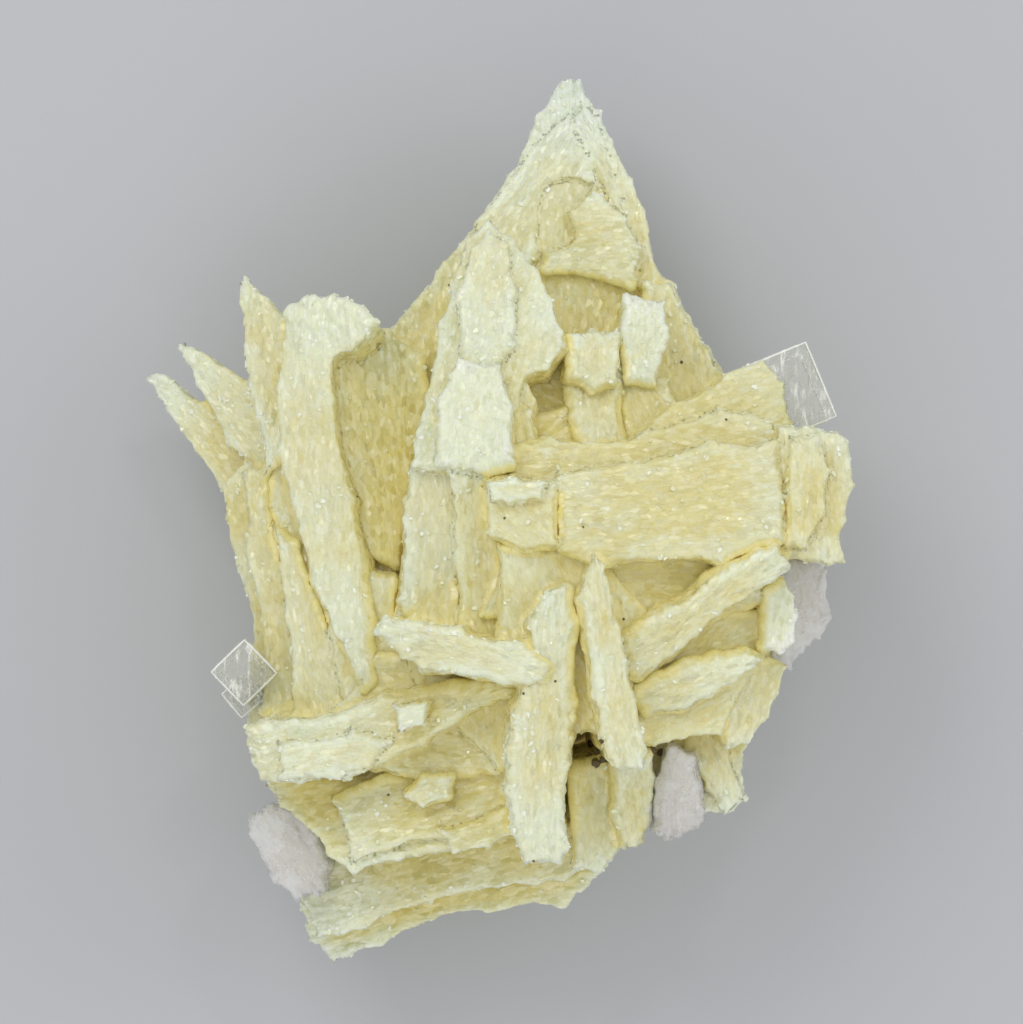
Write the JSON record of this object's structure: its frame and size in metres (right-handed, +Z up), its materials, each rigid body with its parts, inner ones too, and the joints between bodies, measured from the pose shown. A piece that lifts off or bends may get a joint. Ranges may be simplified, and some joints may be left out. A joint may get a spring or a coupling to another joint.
{
  "type": "barite crystal specimen",
  "caption": "Natural cluster of cream barite blades grown together, with a long pointed tip, side spikes and small fluorite crystals on its rim.",
  "frame": {"origin": "middle of the specimen's box, on the surface that it lies on", "axes": "+X to the right of the picture, +Y along the specimen towards its long tip, +Z up, out of the face that shows"},
  "size_m": [0.0638, 0.0798, 0.0385],
  "materials": {
    "cream_barite": "waxy, finely striated, translucent",
    "clear_fluorite": "glassy",
    "lilac_fluorite": "etched, cloudy"
  },
  "bodies": {
    "root": {"barite_blades": "cream_barite", "fluorite_corner_cube": "clear_fluorite", "fluorite_edge_cubes": "clear_fluorite", "fluorite_side_plate": "lilac_fluorite", "fluorite_lower_chunk": "lilac_fluorite", "fluorite_wedge": "lilac_fluorite"}
  },
  "joints": []
}
